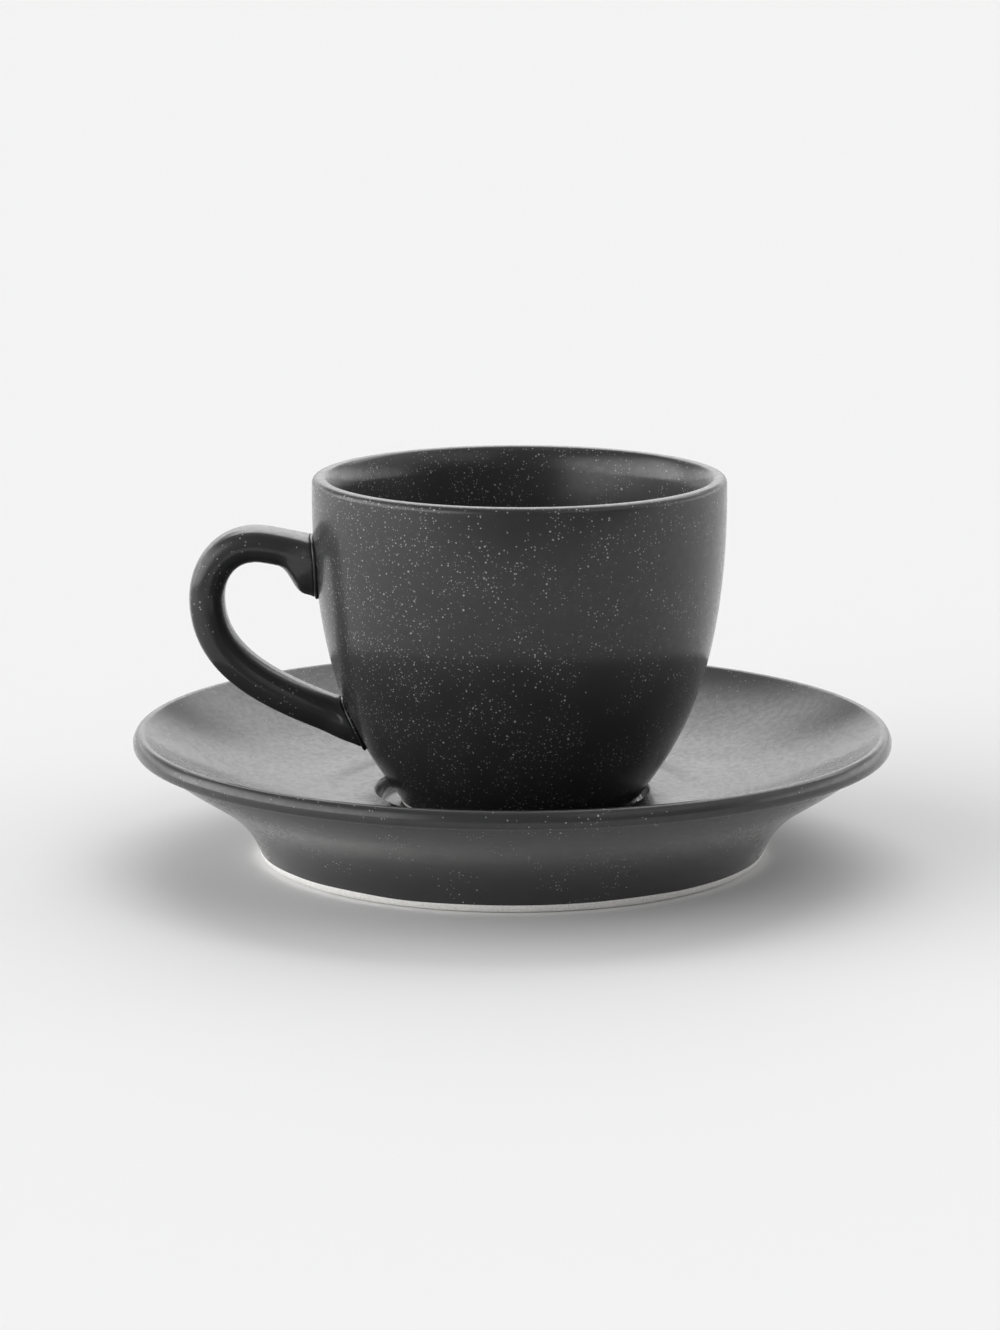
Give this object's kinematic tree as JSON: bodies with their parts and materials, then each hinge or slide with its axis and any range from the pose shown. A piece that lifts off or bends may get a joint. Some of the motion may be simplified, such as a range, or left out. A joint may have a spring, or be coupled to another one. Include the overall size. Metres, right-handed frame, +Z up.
{
  "type": "espresso cup with saucer",
  "caption": "Round-bellied espresso cup with a loop handle, standing in the well of a flared saucer on a raised foot ring; holds a small coffee and lifts straight off.",
  "frame": {"origin": "on the saucer's axis, at the table that the foot ring stands on", "axes": "+Z up along the saucer's axis, -X towards the cup's handle"},
  "size_m": [0.12, 0.12, 0.0606],
  "materials": {
    "dark_glaze": "satin charcoal glaze with fine pale specks",
    "bare_clay": "unglazed pale stoneware"
  },
  "bodies": {
    "saucer": {"saucer_dish": "dark_glaze", "saucer_foot_ring": "bare_clay"},
    "cup": {"cup_body": "dark_glaze", "cup_foot_ring": "bare_clay", "cup_handle": "dark_glaze", "upper_handle_joint": "dark_glaze", "lower_handle_joint": "dark_glaze"}
  },
  "joints": [
    {"name": "cup_lift", "type": "slide", "parent": "saucer", "child": "cup", "axis": [0, 0, 1], "range_m": [0, 0.06]}
  ]
}
